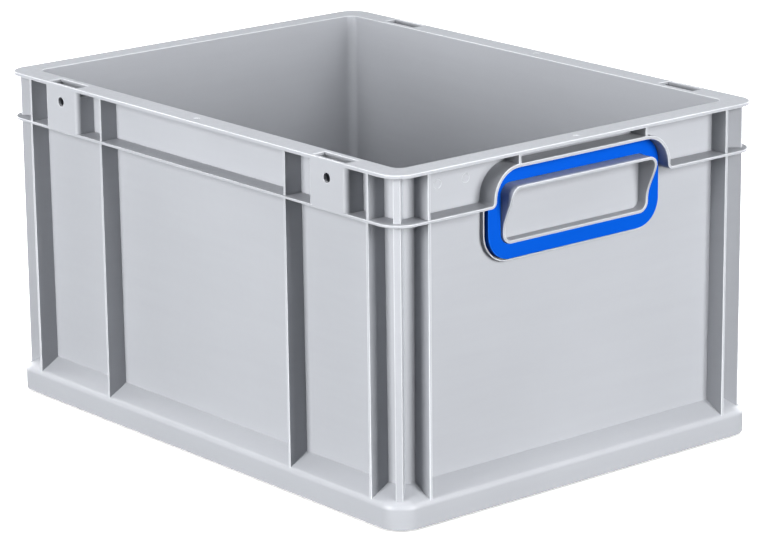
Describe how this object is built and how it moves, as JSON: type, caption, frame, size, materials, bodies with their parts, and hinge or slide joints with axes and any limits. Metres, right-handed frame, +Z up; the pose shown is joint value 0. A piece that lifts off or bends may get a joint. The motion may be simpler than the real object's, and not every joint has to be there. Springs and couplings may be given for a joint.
{
  "type": "stacking crate",
  "caption": "Open-topped rectangular stacking crate in moulded plastic, with upright outer ribs, hinge pockets in the rim and clip-in coloured grip inserts on the short sides.",
  "frame": {"origin": "middle of the footprint, on the ground under the crate's foot", "axes": "+X along the crate's length, towards one of the two short sides with a grip; +Y across its width; +Z up, out of its open top"},
  "size_m": [0.404, 0.3, 0.22],
  "materials": {
    "grey_plastic": "satin moulded polypropylene, light grey",
    "blue_plastic": "satin moulded polypropylene, bright blue"
  },
  "bodies": {
    "root": {"crate_body": "grey_plastic", "grip_insert_right": "blue_plastic", "grip_insert_left": "blue_plastic"}
  },
  "joints": []
}
